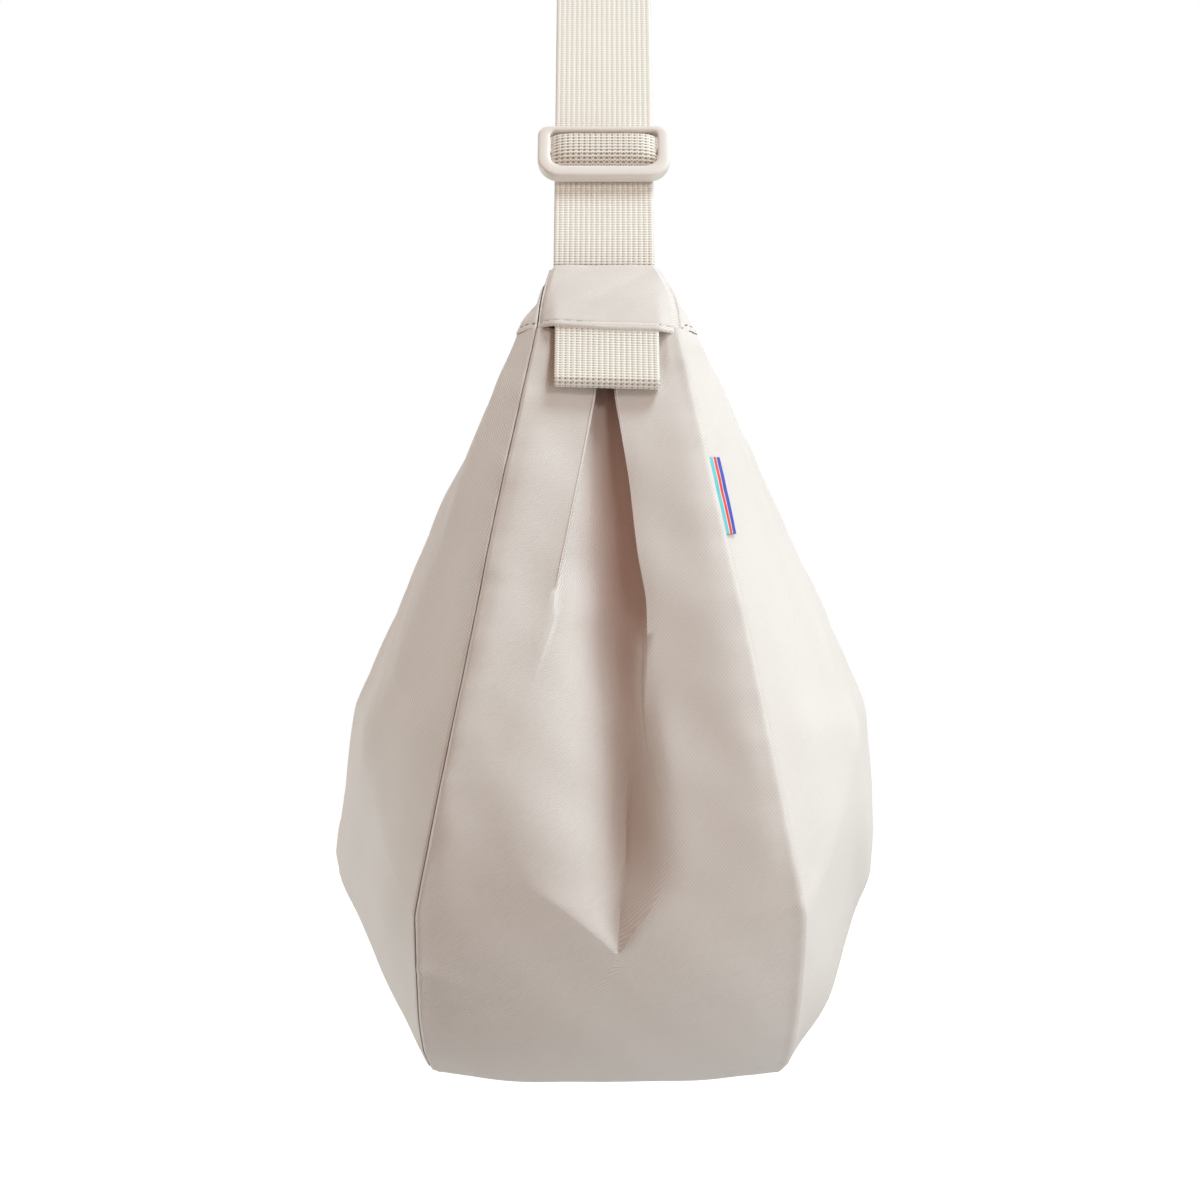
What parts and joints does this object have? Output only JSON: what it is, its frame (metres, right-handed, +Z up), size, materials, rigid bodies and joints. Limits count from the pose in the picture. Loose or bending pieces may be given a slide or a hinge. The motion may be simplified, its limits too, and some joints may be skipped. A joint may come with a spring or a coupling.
{
  "type": "crossbody bag",
  "caption": "Crescent-shaped fabric bag with a pleated end gusset, zip top and a webbing strap with a tri-glide slider, hung by the crown of its strap.",
  "frame": {"origin": "middle of the underside of the strap's crown, where a shoulder or a hook holds the strap; the bag hangs below it", "axes": "+Z up, +X along the bag from its left end, which has the strap slider, to its right end, +Y from the front panel to the back panel"},
  "size_m": [0.4696, 0.2356, 0.5813],
  "materials": {
    "shell_fabric": "fine matte twill, oat white",
    "lining_fabric": "plain matte lining",
    "webbing": "ribbed cotton-like webbing, cream",
    "buckle_plastic": "moulded, matte",
    "zip_tape": "woven tape with a coil",
    "zip_metal": "painted to match the fabric",
    "tag_ribbon": "woven ribbon, satin"
  },
  "bodies": {
    "strap": {"strap_webbing": "webbing", "strap_return_run": "webbing", "strap_ring": "buckle_plastic"},
    "bag": {"front_panel": "shell_fabric", "back_panel": "shell_fabric", "gusset_panel": "shell_fabric", "front_lining": "lining_fabric", "back_lining": "lining_fabric", "gusset_lining": "lining_fabric", "inner_pocket": "lining_fabric", "side_tag": "tag_ribbon", "left_cap_face": "shell_fabric", "left_cap_front": "shell_fabric", "left_cap_back": "shell_fabric", "right_cap_face": "shell_fabric", "right_cap_front": "shell_fabric", "right_cap_back": "shell_fabric", "zip_tape_front": "zip_tape", "zip_tape_back": "zip_tape", "zip_left_stop": "zip_metal", "zip_right_stop": "zip_metal", "strap_left_end": "webbing", "ring_holder": "webbing"},
    "strap_slider": {"strap_slider": "buckle_plastic", "strap_slider_wrap": "webbing"},
    "zip_slider": {"zip_slider": "zip_metal"},
    "zip_puller": {"zip_puller": "zip_metal"},
    "left_end_tab": {"left_end_tab": "webbing"},
    "right_end_tab": {"right_end_tab": "webbing"}
  },
  "joints": [
    {"name": "bag_swing", "type": "hinge", "parent": "strap", "child": "bag", "pos_m": [0, 0, -0.25223], "axis": [1, 0, 0], "range_deg": [-25, 25], "deforming": ["strap_left_end", "ring_holder"]},
    {"name": "strap_slider_slide", "type": "slide", "parent": "strap", "child": "strap_slider", "axis": [0.4695, 0, 0.8829], "range_m": [-0.015, 0.19], "deforming": ["strap_return_run"]},
    {"name": "zip_slide", "type": "slide", "parent": "bag", "child": "zip_slider", "axis": [-1, 0, 0], "range_m": [0, 0.258]},
    {"name": "puller_flip", "type": "hinge", "parent": "zip_slider", "child": "zip_puller", "pos_m": [0.1387, 0, -0.28288], "axis": [0, 1, 0], "range_deg": [0, 120]},
    {"name": "left_tab_lift", "type": "hinge", "parent": "bag", "child": "left_end_tab", "pos_m": [-0.19221, 0, -0.28091], "axis": [0, 1, 0], "range_deg": [0, 100]},
    {"name": "right_tab_lift", "type": "hinge", "parent": "bag", "child": "right_end_tab", "pos_m": [0.19221, 0, -0.28091], "axis": [0, -1, 0], "range_deg": [0, 100]}
  ]
}
